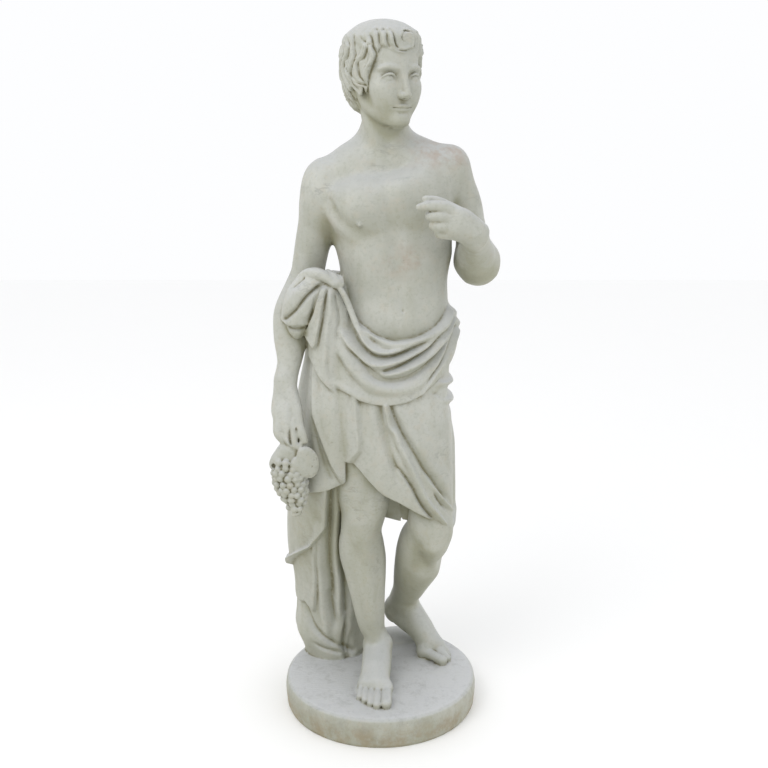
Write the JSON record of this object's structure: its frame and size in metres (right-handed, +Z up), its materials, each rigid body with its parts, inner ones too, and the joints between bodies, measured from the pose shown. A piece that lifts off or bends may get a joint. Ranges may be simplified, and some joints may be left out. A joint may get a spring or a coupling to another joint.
{
  "type": "classical marble statue",
  "caption": "Standing draped youth in the classical manner, carved in one block with its round plinth; a free-standing display figure that rests on its flat underside.",
  "frame": {"origin": "centre of the plinth's flat underside", "axes": "+Z up through the figure, -Y the way the figure faces, +X the figure's own left"},
  "size_m": [0.535, 0.4806, 1.6503],
  "materials": {
    "marble": "weathered, softly polished off-white marble with dirt in the hollows"
  },
  "bodies": {
    "root": {"statue": "marble"}
  },
  "joints": []
}
